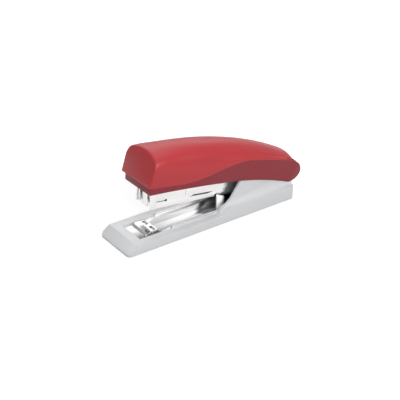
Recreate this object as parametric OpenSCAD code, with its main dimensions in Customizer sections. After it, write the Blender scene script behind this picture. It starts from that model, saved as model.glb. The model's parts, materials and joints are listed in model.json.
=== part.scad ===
// Desktop stapler, half-strip size.
// X runs along the stapler with the mouth towards -X, Y across it, Z up.
// The origin is the middle of the underside. Millimetres and degrees.

/* [Base] */
// Length of the base at the bottom
base_length = 122; // [112:1:150]
// Width of the base
base_width = 31; // [26:0.5:38]
// How far the front face leans back from bottom to top
front_rake = 6; // [3:0.5:8]
// Height of the low tray at the front
tray_height = 5.8; // [5.5:0.1:8]
// Length of the tray from the foot of the front face
tray_length = 63.5; // [56:0.5:74]
// Length of the S-shaped step between tray and ledge
step_length = 8; // [6:0.5:12]
// Height of the ledge beside the rear cheeks
ledge_height = 9.4; // [8.2:0.1:9.6]
// Corner radius of the base in plan
corner_radius = 2.5; // [2:0.5:6]
// Wall of the plastic base shell
shell_wall = 1.8; // [1.2:0.1:2.4]
// Wall of each rear cheek
cheek_wall = 1.55; // [1.2:0.05:2]
// Depth of the steel plate below the tray top
recess_depth = 0.6; // [0.3:0.1:1]
// Thickness of the non-slip pad under the base
pad_thickness = 1.4; // [1:0.1:1.8]

/* [Pivot] */
// Height of the pivot pin above the table
pivot_height = 19.2; // [18.6:0.1:22]
// Distance of the pivot pin from the rear end of the base
pivot_setback = 4; // [3.5:0.1:7]
// Radius of the pivot pin
pin_radius = 2; // [1.5:0.1:2.4]

/* [Staples] */
// Outer width of a staple
staple_width = 12.9; // [9:0.1:15.5]
// Leg length of a staple
staple_leg = 6; // [5:0.5:7]
// Thickness of the staple wire
staple_wire = 0.5; // [0.4:0.05:0.7]
// Length of the strip of staples that fits
strip_length = 52; // [40:1:56]

/* [Magazine] */
// Distance of the magazine's front face from the foot of the base's front face
nose_setback = 21.15; // [17:0.5:26]
// Height of the magazine's side walls
magazine_height = 13.6; // [12:0.1:16.4]
// Height of the pivot above the magazine's underside
pivot_rise = 9.4; // [8.6:0.1:10.4]
// Thickness of the magazine's steel sheet
magazine_sheet = 0.9; // [0.6:0.1:1.1]
// Angle of the magazine at rest, front end up
magazine_tilt = 6.5; // [5:0.1:8]

/* [Handle] */
// Angle of the handle above the magazine at rest
handle_lift = 5.5; // [4.5:0.1:6.6]
// Thickness of the handle's steel frame
handle_sheet = 1; // [0.8:0.1:1.2]
// Thickness of the driver blade
blade_thickness = 0.5; // [0.4:0.05:0.6]

/* [Cap] */
// Wall of the plastic cap
cap_wall = 1.6; // [1.2:0.1:2]
// How far the cap's front face stands ahead of the magazine
cap_overhang = 7.75; // [5:0.5:9]
// Height of the cap's crown above the steel frame inside it
crown_rise = 10.6; // [9:0.1:14]
// How much lower the crown is at the cap's front face
crown_drop = 3.7; // [2:0.1:5]
// How much lower the cap's arch is over the edges of the steel frame
arch_drop = 2.5; // [2:0.1:3.2]
// Radius of the cap's shoulders
shoulder_radius = 4; // [2.5:0.5:5]
// Radius of the cap's round rear end
tail_radius = 7; // [6.4:0.1:7.4]

/* [Hidden] */
$fn = 48;

// Clearances
side_play = 0.15;      // staples, follower and blade between the magazine's walls
running_play = 0.06;   // moving parts on the pivot pin, radial
sheet_gap = 0.3;       // steel sheets that swing past each other
guide_gap = 0.7;       // magazine between the base plate's rails
cheek_gap = 0.35;      // handle frame inside the cheeks
cap_gap = 0.4;         // cap outside the cheeks
eps = 0.01;            // cutters run past a face by this

// Half widths, from the staples outwards
magazine_in = staple_width / 2 + side_play;
magazine_out = magazine_in + magazine_sheet;
base_sheet = 1;
plate_in = magazine_out + guide_gap;
plate_out = plate_in + base_sheet;
frame_in = plate_out + sheet_gap;
frame_out = frame_in + handle_sheet;
cheek_in = frame_out + cheek_gap;
cheek_out = cheek_in + cheek_wall;
cap_in = cheek_out + cap_gap;
cap_edge = cap_in + cap_wall;
cap_swell = 0.8;
cap_out = cap_edge + cap_swell;

// Base
base_front = -base_length / 2;
base_rear = base_length / 2;
pad_stand = 0.4;       // the pad stands this far below the shell
pad_margin = 1.4;
floor_under = tray_height - recess_depth - base_sheet;
floor_top = floor_under + base_sheet;
shell_floor = 1.6;
cavity_top = floor_under - shell_floor;
tray_end = base_front + tray_length;
ledge_start = tray_end + step_length;
recess_front = base_front + front_rake + 5.3;
recess_half = plate_out + 0.2;
recess_rear = base_rear - shell_wall;

// Pivot
pivot_x = base_rear - pivot_setback;
cheek_round = min(pivot_setback, 5);
cheek_rise = 6.3;      // cheek top above the pivot
ear_radius = 4.4;      // plate's ears round the pivot

// Base plate, anvil and return spring
lug_front = tray_end + 2.2;
lug_rear = lug_front + 5.4;
lug_top = pivot_height - 2.4;
rail_rise = 1.2;       // rails above the tray
anvil_half = magazine_out + 0.1;
anvil_front = base_front + nose_setback - 3.05;
anvil_rear = anvil_front + 7.1;
anvil_x = anvil_front + 3.5;
anvil_rise = 1.3;      // anvil above the plate
relief_radius = 0.95;
relief_x = anvil_rear + 0.3;
relief_y = recess_half - relief_radius;
anvil_rivet_radius = 1.2;
plate_screw_radius = 1;
plate_screw_xs = [tray_end + 11, pivot_x - 10];
return_rivet_radius = 1;
return_rivet_xs = [pivot_x - 30, pivot_x - 23];
spring_sheet = 0.4;

// Magazine, in its own frame: origin at the pivot, X to the rear, level
nose_x = base_front + nose_setback - pivot_x;
magazine_bottom = -pivot_rise;
magazine_top = magazine_bottom + magazine_height;
magazine_floor = magazine_bottom + magazine_sheet;
flange_ahead = 0.8;    // flanges stand ahead of the front plate, one on each side
flange_out = 0.5;
drop_slot = 1.75;      // from the front plate to the rail, for staple and blade
rail_front = nose_x + magazine_sheet + drop_slot;
rail_top = magazine_floor + 0.1 + staple_leg - staple_wire;
rail_sheet = 0.8;
rail_half = magazine_in - 1;
rail_slot_half = 1.9;
rail_foot = 0.8;       // feet that hold the rail on the magazine's floor
rail_foot_end = -11;
rod_radius = 0.8;
rod_z = (magazine_floor + rail_top - rail_sheet) / 2;
rod_front = rail_front + 3;
rod_rear = -19;
rail_rivet_xs = [(rail_front + rod_front) / 2, (rod_rear + rail_foot_end) / 2];
rail_rivet_radius = 0.9;
magazine_ear = 4.6;
bush_radius = pin_radius + 1.4;
spring_wire = 0.8;     // torsion spring on the bush
spring_turns_half = 2.8;
leg_wire = 0.6;

// Follower
follower_length = 14;
follower_front = rail_front + 0.4;
follower_rear = follower_front + follower_length;
tongue_length = 3;
tongue_rear = follower_rear - 0.4;

// Bridge over the magazine's rear half: stop for the follower, stiffens the walls
bridge_front = follower_rear + strip_length + 0.4;
bridge_length = 9;
bridge_rear = bridge_front + bridge_length;
bridge_sheet = 0.8;
bridge_top = magazine_top - 0.4;
bridge_leg_bottom = rail_top + 2.1;
bridge_rivet_x = bridge_front + bridge_length / 2;
bridge_rivet_z = bridge_top - 2.6;
bridge_rivet_radius = 0.8;

// Handle, in its own frame: the magazine's frame turned up by handle_lift
web_under = magazine_top + 3.8;
web_top = web_under + handle_sheet;
web_rear = -24;
frame_edge = -2;       // lower edge of the frame's side plates
frame_ear = 5;
blade_x = rail_front - 0.2 - 0.45 - blade_thickness / 2;
groove_x = pivot_x + blade_x + 0.3;   // on the anvil, under the blade when all is down
blade_half = magazine_in - side_play;
frame_front = blade_x + blade_thickness / 2;
tab_bottom = magazine_top + 1;
driver_rivet_z = (tab_bottom + web_under) / 2;
driver_rivet_y = 3.4;
driver_rivet_radius = 0.7;
frame_screw_radius = 1.1;
frame_screw_xs = [frame_front + 9.5, frame_front + 33];

// Cap, in the handle's frame
cap_front = nose_x - cap_overhang;
crest_forward = 12;
crest_x = cap_front / 2 - crest_forward;
crown_radius = pow(crest_x - cap_front, 2) / (2 * crown_drop);
crown_height = web_top + crown_rise;
arch_radius = (pow(frame_out, 2) + pow(arch_drop, 2)) / (2 * arch_drop);
skirt_setback = 2.4;
skirt_top = -3;
tail_x = 2.3;
tail_z = -0.4;
tail_gap_z = 1.6;      // the rear wall ends here, so that the cap can swing open
edge_crest_x = -40;
edge_crest_z = -3.6;
edge_front_radius = 490;
edge_rear_radius = 230;

light_grey = [0.82, 0.83, 0.84];
dark_rubber = [0.2, 0.2, 0.21];
bright_steel = [0.78, 0.79, 0.8];
nickel = [0.86, 0.86, 0.87];
blue_steel = [0.22, 0.23, 0.26];
cap_red = [0.72, 0.16, 0.2];
pusher_grey = [0.5, 0.51, 0.53];

// ---- Frames -------------------------------------------------------------

module at_magazine() {
    translate([pivot_x, 0, pivot_height]) rotate([0, magazine_tilt, 0]) children();
}

module at_handle() {
    translate([pivot_x, 0, pivot_height]) rotate([0, magazine_tilt + handle_lift, 0]) children();
}

// ---- Shared shapes --------------------------------------------------------

// Points of an arc, from angle a to angle b
function arc(cx, cy, r, a, b, n = 8) =
    [for (i = [0:n]) let (t = a + (b - a) * i / n) [cx + r * cos(t), cy + r * sin(t)]];

// A plate standing in the XZ plane between y0 and y1, from an outline of [x, z] points
module upright(y0, y1) {
    translate([0, y1, 0]) rotate([90, 0, 0]) linear_extrude(y1 - y0) children();
}

// The same plate on both sides of the middle
module upright_pair(y0, y1) {
    upright(y0, y1) children();
    upright(-y1, -y0) children();
}

// A box from its limits
module block(x, y, z) {
    translate([x[0], y[0], z[0]]) cube([x[1] - x[0], y[1] - y[0], z[1] - z[0]]);
}

// A cylinder across the stapler, centred on y = 0
module cross_bar(x, z, r, length) {
    translate([x, 0, z]) rotate([90, 0, 0]) cylinder(r = r, h = length, center = true);
}

// A cylinder along the stapler
module long_bar(x0, x1, z, r, y = 0) {
    translate([x0, y, z]) rotate([0, 90, 0]) cylinder(r = r, h = x1 - x0);
}

// An upright cylinder
module post(x, y, z0, z1, r) {
    translate([x, y, z0]) cylinder(r = r, h = z1 - z0);
}

module rounded_plan(inset) {
    r = max(corner_radius - inset, 0.5);
    half_x = base_length / 2 - inset;
    half_y = base_width / 2 - inset;
    square([2 * half_x, 2 * (half_y - r)], center = true);
    square([2 * (half_x - r), 2 * half_y], center = true);
    for (sx = [-1, 1], sy = [-1, 1]) translate([sx * (half_x - r), sy * (half_y - r)]) circle(r);
}

// A leaf spring's outline: a curve of [x, z] points with thickness t below it
module leaf_outline(top, t) {
    n = len(top);
    polygon(concat(top, [for (i = [n - 1:-1:0]) [top[i][0], top[i][1] - t]]));
}

// ---- Base -----------------------------------------------------------------

// Height of the S-shaped step, from 0 at its foot to 1 at its head
function ease(t) = (1 - cos(180 * t)) / 2;

module base_profile() {
    step = [for (i = [0:10]) [tray_end + step_length * i / 10,
        tray_height + (ledge_height - tray_height) * ease(i / 10)]];
    polygon(concat(
        [[base_front, pad_stand], [base_front, pad_stand + 1], [base_front + front_rake, tray_height]],
        step,
        [[base_rear, ledge_height], [base_rear, pad_stand]]));
}

module cheek_profile() {
    foot_x = tray_end + 2;
    knee_x = ledge_start + 2.5;
    knee_z = ledge_height + 4;
    top_z = pivot_height + cheek_rise;
    top_x = knee_x + (top_z - knee_z) * 0.72;
    polygon(concat(
        [[foot_x, tray_height - 1], [foot_x, tray_height + 1.1], [foot_x + 5.5, ledge_height + 1.7],
         [knee_x, knee_z], [top_x, top_z], [pivot_x - 14, top_z]],
        arc(pivot_x, pivot_height, cheek_round, 90, 0, 8),
        [[pivot_x + cheek_round, ledge_height - 1]]));
}

module base_shell() {
    color(light_grey) difference() {
        union() {
            intersection() {
                linear_extrude(ledge_height + 1) rounded_plan(0);
                upright(-base_width, base_width) base_profile();
            }
            upright_pair(cheek_in, cheek_out) cheek_profile();
        }
        // Seat of the steel plate, open towards the rear between the cheeks
        block([recess_front, recess_rear], [-recess_half, recess_half], [floor_under, pivot_height + 20]);
        // Seat of the pad, and the hollow above it
        translate([0, 0, -eps]) linear_extrude(pad_thickness + eps) rounded_plan(pad_margin);
        hollow_half = base_width / 2 - shell_wall - 1;
        block([base_front + front_rake, base_rear - shell_wall - 1], [-hollow_half, hollow_half],
            [pad_thickness - eps, cavity_top]);
        // Slots beside the anvil, each with a round relief at its rear end
        for (s = [-1, 1]) {
            y0 = s > 0 ? anvil_half + 0.1 : -recess_half;
            block([anvil_front - 2, relief_x], [y0, y0 + recess_half - anvil_half - 0.1],
                [0, floor_top + 1]);
            post(relief_x, s * relief_y, 0, tray_height + 1, relief_radius);
        }
        // Bores of the pin, the rivet and the screws
        cross_bar(pivot_x, pivot_height, pin_radius, 2 * base_width);
        post(anvil_x, 0, 0, tray_height, anvil_rivet_radius);
        for (x = plate_screw_xs) post(x, 0, 0, tray_height, plate_screw_radius);
    }
}

module bottom_pad() {
    color(dark_rubber) difference() {
        linear_extrude(pad_thickness) rounded_plan(pad_margin + 0.1);
        // Grip grooves across the ends
        for (s = [-1, 1], i = [0:3])
            block([s * (base_length / 2 - 12 - 3 * i) - 0.5, s * (base_length / 2 - 12 - 3 * i) + 0.5],
                [-base_width / 2 + 4, base_width / 2 - 4], [-eps, 0.4]);
    }
}

module plate_side_profile() {
    rail_x0 = base_front + front_rake + 27;
    rail_z = tray_height + rail_rise;
    neck_z = 11;
    polygon(concat(
        [[rail_x0, floor_under], [rail_x0, rail_z - 1.2]],
        arc(rail_x0 + 1.2, rail_z - 1.2, 1.2, 180, 90, 5),
        [[lug_front, rail_z], [lug_front, lug_top - 1]],
        arc(lug_front + 1, lug_top - 1, 1, 180, 90, 4),
        [[lug_rear - 0.8, lug_top - 1.6], [lug_rear, lug_top - 2.6], [lug_rear, neck_z - 2],
         [lug_rear + 2, neck_z - 2], [pivot_x - 18, neck_z], [pivot_x - 8, pivot_height + 1.5]],
        arc(pivot_x, pivot_height, ear_radius, 115, -15, 8),
        [[recess_rear - 0.2, pivot_height - 6], [recess_rear - 0.2, floor_under]]));
}

module base_plate() {
    color(bright_steel) difference() {
        union() {
            block([relief_x, recess_rear - 0.2], [-plate_out, plate_out], [floor_under, floor_top]);
            block([recess_front + 0.3, relief_x + eps], [-anvil_half, anvil_half], [floor_under, floor_top]);
            upright_pair(plate_in, plate_out) plate_side_profile();
        }
        for (s = [-1, 1]) post(relief_x, s * relief_y, 0, floor_top + 0.5, relief_radius);
        cross_bar(pivot_x, pivot_height, pin_radius, 2 * base_width);
        post(anvil_x, 0, 0, tray_height + 1, anvil_rivet_radius);
        for (x = plate_screw_xs) post(x, 0, 0, tray_height, plate_screw_radius);
        for (x = return_rivet_xs) post(x, 0, 0, tray_height, return_rivet_radius);
    }
}

module plate_screws() {
    color(bright_steel) for (x = plate_screw_xs) {
        post(x, 0, cavity_top - 0.8, cavity_top, 2.1);
        post(x, 0, cavity_top - eps, floor_top, plate_screw_radius);
    }
}

// Forming grooves bend the legs of a staple inwards
module anvil() {
    top = floor_top + anvil_rise;
    groove_depth = 0.8;
    groove_length = 5;
    groove_r = (pow(groove_length / 2, 2) + pow(groove_depth, 2)) / (2 * groove_depth);
    groove_y = staple_width / 2 - groove_length / 2 - 0.2;
    nose_r = anvil_rise + 0.7;
    color(nickel) difference() {
        union() {
            block([anvil_front, anvil_rear], [-anvil_half, anvil_half], [floor_top, top]);
            intersection() {
                translate([anvil_front, 0, top - nose_r]) rotate([90, 0, 0])
                    cylinder(r = nose_r, h = 2 * anvil_half - 1.4, center = true);
                block([anvil_front - nose_r, anvil_front + eps], [-anvil_half, anvil_half],
                    [floor_top, top]);
            }
        }
        for (s = [-1, 1])
            long_bar(groove_x - 0.9, groove_x + 0.9, top + groove_r - groove_depth, groove_r,
                s * groove_y);
        post(anvil_x, 0, 0, top - 0.5, anvil_rivet_radius);
    }
}

module anvil_rivet() {
    color(nickel) {
        post(anvil_x, 0, cavity_top - 0.8, cavity_top, 2);
        post(anvil_x, 0, cavity_top - eps, floor_top + anvil_rise - 0.5, anvil_rivet_radius);
    }
}

// Leaf spring that lifts the magazine: flat under its rivets, then up to the magazine's underside
module return_spring() {
    flat_rear = pivot_x - 19;
    flat_front = tray_end + 19;
    tip_x = tray_end + 0.5;
    rest_z = pivot_height - pivot_rise / cos(magazine_tilt) + (pivot_x - tip_x) * tan(magazine_tilt);
    tip_z = rest_z - 0.3;
    base_z = floor_top + spring_sheet;
    rise = [for (i = [0:12]) let (t = i / 12)
        [flat_front - (flat_front - tip_x - 3) * t, base_z + (tip_z - 0.35 - base_z) * ease(t)]];
    tip = [[tip_x, tip_z]];
    color(blue_steel) difference() {
        upright(-magazine_in + 1.6, magazine_in - 1.6)
            leaf_outline(concat([[flat_rear, base_z]], rise, tip), spring_sheet);
        for (x = return_rivet_xs) post(x, 0, 0, tray_height + 1, return_rivet_radius);
    }
}

module return_spring_rivets() {
    color(bright_steel) for (x = return_rivet_xs) {
        post(x, 0, floor_under, floor_top + spring_sheet + eps, return_rivet_radius);
        post(x, 0, floor_top + spring_sheet, floor_top + spring_sheet + 0.6, 1.8);
    }
}

module pivot_pin() {
    color(bright_steel) cross_bar(pivot_x, pivot_height, pin_radius, 2 * cheek_out - 0.2);
}

// ---- Magazine ---------------------------------------------------------------

module magazine_side_profile() {
    polygon(concat(
        [[nose_x, magazine_bottom], [nose_x, magazine_top]],
        [[-8, magazine_top]],
        arc(0, 0, magazine_ear, 80, -60, 10),
        [[-7, magazine_bottom + 0.6], [-9, magazine_bottom]]));
}

module magazine_body() {
    front_in = nose_x + magazine_sheet;
    slit_out = 5.1;
    slit_in = 2.6;
    bridge_z = magazine_top - 1.2;
    notch_x = nose_x + 9.5;
    notch_z = magazine_bottom + 4.1;
    slot_x0 = nose_x + 26.2;
    slot_x1 = slot_x0 + 17;
    slot_z = magazine_bottom + 3.4;
    catch_x = nose_x + 23;
    color(nickel) at_magazine() difference() {
        union() {
            upright_pair(magazine_in, magazine_out) magazine_side_profile();
            block([rail_front, -9], [-magazine_in - eps, magazine_in + eps],
                [magazine_bottom, magazine_floor]);
            block([nose_x, front_in], [-magazine_in - eps, magazine_in + eps],
                [magazine_bottom, magazine_top]);
            for (s = [-1, 1]) block([nose_x - flange_ahead, front_in],
                [s > 0 ? magazine_in : -magazine_out - flange_out,
                 s > 0 ? magazine_out + flange_out : -magazine_in],
                [magazine_bottom, magazine_top - 1]);
            // Catch embossed on each side
            for (s = [-1, 1]) block([catch_x, catch_x + 6.5],
                [s > 0 ? magazine_out - eps : -magazine_out - 0.35,
                 s > 0 ? magazine_out + 0.35 : -magazine_out + eps],
                [magazine_bottom + 5, magazine_bottom + 9]);
        }
        // Slits beside the front plate
        for (s = [-1, 1]) block([nose_x - 1, front_in + eps],
            [s > 0 ? slit_in : -slit_out, s > 0 ? slit_out : -slit_in],
            [magazine_bottom - 1, bridge_z]);
        // Small lanced notch and long slot in each side wall
        block([nose_x + 3, notch_x], [-magazine_out - 1, magazine_out + 1],
            [notch_z - 0.2, notch_z + 0.2]);
        cross_bar(notch_x, notch_z, 0.75, 2 * magazine_out + 2);
        upright(-magazine_out - 1, magazine_out + 1) polygon([
            [slot_x0, slot_z - 0.3], [slot_x0 + 3, slot_z + 0.7], [slot_x1, slot_z + 0.2],
            [slot_x1 - 4, slot_z - 0.6]]);
        cross_bar(0, 0, pin_radius + running_play, 4 * magazine_out);
        for (x = rail_rivet_xs) post(x, 0, magazine_bottom - 1, magazine_floor + 1, rail_rivet_radius);
        cross_bar(bridge_rivet_x, bridge_rivet_z, bridge_rivet_radius, 4 * magazine_out);
    }
}

// Inverted channel that carries the staples, with the spring inside it
module staple_rail() {
    inner = rail_half - rail_sheet;
    color(bright_steel) at_magazine() difference() {
        union() {
            difference() {
                block([rail_front, rod_rear], [-rail_half, rail_half], [magazine_floor, rail_top]);
                block([rail_front - 1, rod_rear + 1], [-inner, inner],
                    [magazine_floor - 1, rail_top - rail_sheet]);
                block([follower_front + 2, bridge_rear], [-rail_slot_half, rail_slot_half],
                    [rail_top - rail_sheet - 1, rail_top + 1]);
            }
            // Front and rear plates that hold the rod, each with a foot on the magazine's floor
            block([rod_front, rod_front + rail_sheet], [-inner - eps, inner + eps],
                [magazine_floor, rail_top - rail_sheet + eps]);
            block([rail_front, rod_front + eps], [-inner - eps, inner + eps],
                [magazine_floor, magazine_floor + rail_foot]);
            block([rod_rear - rail_sheet, rod_rear], [-inner - eps, inner + eps],
                [magazine_floor, rail_top - rail_sheet + eps]);
            block([rod_rear - eps, rail_foot_end], [-inner, inner],
                [magazine_floor, magazine_floor + rail_foot]);
        }
        long_bar(rod_front - 1, rod_rear + 1, rod_z, rod_radius);
        for (x = rail_rivet_xs) post(x, 0, magazine_floor - 1, rail_top - 2, rail_rivet_radius);
    }
}

module rail_rivets() {
    color(bright_steel) at_magazine() for (x = rail_rivet_xs) {
        post(x, 0, magazine_bottom, magazine_floor + rail_foot + eps, rail_rivet_radius);
        post(x, 0, magazine_floor + rail_foot, magazine_floor + rail_foot + 0.5, 1.4);
    }
}

module pivot_bush() {
    color(bright_steel) at_magazine() difference() {
        cross_bar(0, 0, bush_radius, 2 * magazine_in - 0.1);
        cross_bar(0, 0, pin_radius + running_play, 2 * magazine_in + 2);
    }
}

module spring_rod() {
    color(nickel) at_magazine() long_bar(rod_front, rod_rear, rod_z, rod_radius);
}

module spring_bridge() {
    color(bright_steel) at_magazine() difference() {
        block([bridge_front, bridge_rear], [-magazine_in, magazine_in], [bridge_leg_bottom, bridge_top]);
        block([bridge_front - 1, bridge_rear + 1], [-magazine_in + bridge_sheet, magazine_in - bridge_sheet],
            [bridge_leg_bottom - 1, bridge_top - bridge_sheet]);
        cross_bar(bridge_rivet_x, bridge_rivet_z, bridge_rivet_radius, 4 * magazine_out);
    }
}

module bridge_rivets() {
    color(bright_steel) at_magazine() for (s = [-1, 1]) scale([1, s, 1]) {
        translate([bridge_rivet_x, magazine_out + 0.4, bridge_rivet_z]) rotate([90, 0, 0]) {
            cylinder(r = 1.3, h = 0.4);
            cylinder(r = bridge_rivet_radius, h = 0.4 + magazine_sheet + bridge_sheet);
        }
    }
}

// Pushes the strip of staples forward along the rail
module follower() {
    skirt_in = rail_half + side_play + 0.05;
    skirt_out = magazine_in - side_play - 0.05;
    top = rail_top + 1.7;
    color(pusher_grey) at_magazine() difference() {
        union() {
            block([follower_front, follower_rear], [-skirt_out, skirt_out], [rail_top + 0.15, top]);
            for (s = [-1, 1]) block([follower_front, follower_rear],
                [s > 0 ? skirt_in : -skirt_out, s > 0 ? skirt_out : -skirt_in],
                [magazine_floor + 0.4, top]);
            block([tongue_rear - tongue_length, tongue_rear], [-rail_slot_half + 0.2, rail_slot_half - 0.2],
                [magazine_floor + 0.4, top]);
        }
        long_bar(follower_front - 1, follower_rear + 1, rod_z, rod_radius + 0.1);
    }
}

// Outer shape of the coil spring between the follower's tongue and the rail's rear plate
module follower_spring() {
    color(blue_steel) at_magazine() difference() {
        long_bar(tongue_rear + 0.1, rod_rear - rail_sheet - 0.1, rod_z, 1.9);
        long_bar(tongue_rear - 1, rod_rear + 1, rod_z, 1.2);
    }
}

// ---- Handle -----------------------------------------------------------------

module handle_side_profile() {
    polygon(concat(
        [[frame_front, frame_edge], [frame_front, web_top], [web_rear, web_top]],
        arc(0, 0, frame_ear, 62, -90, 10),
        [[-10, -frame_ear + 0.6], [-30, frame_edge]]));
}

module handle_frame() {
    color(bright_steel) at_handle() difference() {
        union() {
            upright_pair(frame_in, frame_out) handle_side_profile();
            block([frame_front, web_rear], [-frame_in - eps, frame_in + eps], [web_under, web_top]);
            block([frame_front, frame_front + handle_sheet], [-blade_half, blade_half],
                [tab_bottom, web_under + eps]);
        }
        cross_bar(0, 0, pin_radius + running_play, 4 * frame_out);
        for (x = frame_screw_xs) post(x, 0, web_under - 1, web_top + 1, frame_screw_radius);
        for (s = [-1, 1]) long_bar(frame_front - 1, frame_front + 2, driver_rivet_z,
            driver_rivet_radius, s * driver_rivet_y);
    }
}

module driver_blade() {
    color(blue_steel) at_handle() difference() {
        block([blade_x - blade_thickness / 2, blade_x + blade_thickness / 2], [-blade_half, blade_half],
            [magazine_bottom + 0.1, web_top - 0.2]);
        for (s = [-1, 1]) long_bar(blade_x - 1, blade_x + 1, driver_rivet_z, driver_rivet_radius,
            s * driver_rivet_y);
    }
}

module driver_rivets() {
    color(bright_steel) at_handle() for (s = [-1, 1]) {
        long_bar(blade_x - blade_thickness / 2 - 0.35, frame_front + handle_sheet, driver_rivet_z,
            driver_rivet_radius, s * driver_rivet_y);
        long_bar(blade_x - blade_thickness / 2 - 0.35, blade_x - blade_thickness / 2, driver_rivet_z,
            1.1, s * driver_rivet_y);
    }
}

// Torsion spring round the bush that lifts the handle: a coil with one leg on the rail's foot in
// the magazine and one under the handle's web
module handle_spring() {
    coil_in = bush_radius + 0.2;
    coil_mid = coil_in + spring_wire / 2;
    leg_half = leg_wire / 2;
    leg_y = spring_turns_half - 0.1 - leg_half;
    low_tip = [rod_rear + 3, magazine_floor + rail_foot + 0.15 + leg_half];
    high_tip = [web_rear - 6, web_under - 0.1 - leg_half];
    color(blue_steel) {
        at_handle() spring_leg([0, coil_mid], high_tip, leg_y);
        at_magazine() {
            difference() {
                cross_bar(0, 0, coil_in + spring_wire, 2 * spring_turns_half);
                cross_bar(0, 0, coil_in, 2 * spring_turns_half + 1);
            }
            spring_leg([0, -coil_mid], low_tip, -leg_y);
        }
    }
}

// A straight leg of the spring between two [x, z] points, at y
module spring_leg(from, to, y) {
    run = to - from;
    translate([from[0], y, from[1]]) rotate([0, -atan2(run[1], run[0]), 0])
        translate([0, -leg_wire / 2, -leg_wire / 2]) cube([norm(run), leg_wire, leg_wire]);
}

module frame_screws() {
    color(bright_steel) at_handle() for (x = frame_screw_xs) {
        post(x, 0, web_under - 0.9, web_under, 2);
        post(x, 0, web_under - eps, web_top + 4, frame_screw_radius);
    }
}

// Half of the cap's cross-section as [height below the crown, y]: arch, shoulder, side
function half_arch(inset, swell) =
    let (
        big = arch_radius - inset,
        small = shoulder_radius - inset * 0.6,
        side = cap_out - inset,
        sy = side - small,
        sz = -arch_radius + sqrt(pow(big - small, 2) - sy * sy),
        join = atan2(sz + arch_radius, sy)
    )
    concat(
        arc(-arch_radius, 0, big, 0, 90 - join, 6),
        [for (i = [1:4]) let (t = join * (1 - i / 4)) [sz + small * sin(t), sy + small * cos(t)]],
        [[-36, side - swell]]);

// The cap's body: its cross-section swept along the bowed crown
module bowed_arch(inset) {
    half = half_arch(inset, cap_swell);
    n = len(half);
    outline = concat(half, [for (i = [n - 1:-1:1]) [half[i][0], -half[i][1]]]);
    reach = asin((crest_x - cap_front + 12) / crown_radius);
    back = asin((14 - crest_x) / crown_radius);
    translate([crest_x, 0, crown_height - crown_radius]) rotate([90, 0, 0])
        rotate([0, 0, 90 - back]) rotate_extrude(angle = reach + back, $fn = 360)
            polygon([for (p = outline) [crown_radius + p[0], p[1]]]);
}

// Height of the crown along the cap
function crown_z(x) = crown_height - pow(x - crest_x, 2) / (2 * crown_radius);

// Lower edge of the cap: two arcs that meet at its highest point
function edge_z(x) = edge_crest_z -
    pow(x - edge_crest_x, 2) / (2 * (x < edge_crest_x ? edge_front_radius : edge_rear_radius));

module cap_profile() {
    skirt_x = cap_front + skirt_setback;
    top = crown_height + 1;
    polygon(concat(
        [[cap_front, top], [cap_front, skirt_top], [skirt_x, skirt_top - 0.6]],
        [for (i = [0:14]) let (x = skirt_x + (tail_x - skirt_x) * i / 14) [x, edge_z(x)]],
        arc(tail_x, tail_z, tail_radius, -80, 50, 8),
        [[tail_x + 2.5, tail_z + tail_radius - 0.4], [tail_x + 1.5, top - 6], [tail_x - 2, top]]));
}

module cap_hollow_profile() {
    inner_front = cap_front + skirt_setback + cap_wall;
    inner_tail = tail_radius - cap_wall;
    polygon(concat(
        [[inner_front, crown_height + 1], [inner_front, -20], [tail_x + 12, -20], [tail_x + 12, tail_gap_z],
         [tail_x + sqrt(pow(inner_tail, 2) - pow(tail_gap_z - tail_z, 2)), tail_gap_z]],
        arc(tail_x, tail_z, inner_tail, 25, 60, 4),
        [[tail_x - 0.5, crown_height + 1]]));
}

module cap_shell() {
    color(cap_red) at_handle() difference() {
        union() {
            difference() {
                intersection() {
                    bowed_arch(0);
                    upright(-30, 30) cap_profile();
                }
                intersection() {
                    bowed_arch(cap_wall);
                    upright(-30, 30) cap_hollow_profile();
                }
            }
            // Bosses that take the frame screws
            for (x = frame_screw_xs) translate([x, 0, web_top]) rotate([0, 0, 40])
                cylinder(r = 2.8, h = crown_z(x) - cap_wall / 2 - web_top);
        }
        for (x = frame_screw_xs) post(x, 0, web_top - 1, web_top + 5, frame_screw_radius);
    }
}

base_shell();
bottom_pad();
base_plate();
plate_screws();
anvil();
anvil_rivet();
return_spring();
return_spring_rivets();
pivot_pin();
magazine_body();
staple_rail();
rail_rivets();
pivot_bush();
spring_rod();
spring_bridge();
bridge_rivets();
follower();
follower_spring();
cap_shell();
handle_frame();
frame_screws();
driver_blade();
driver_rivets();
handle_spring();
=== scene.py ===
"""Looks of a desktop stapler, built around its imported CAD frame.

Unless it says otherwise, a length in the classes is in millimetres. It is in the stapler's own
frame or, where it says so, in the frame of the magazine or the handle, whose origin is the pivot
pin.
"""

import json
import logging
import math
from collections.abc import Callable, Sequence
from dataclasses import dataclass
from enum import Enum

import bmesh
import bpy
from mathutils import Matrix, Quaternion, Vector


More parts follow.
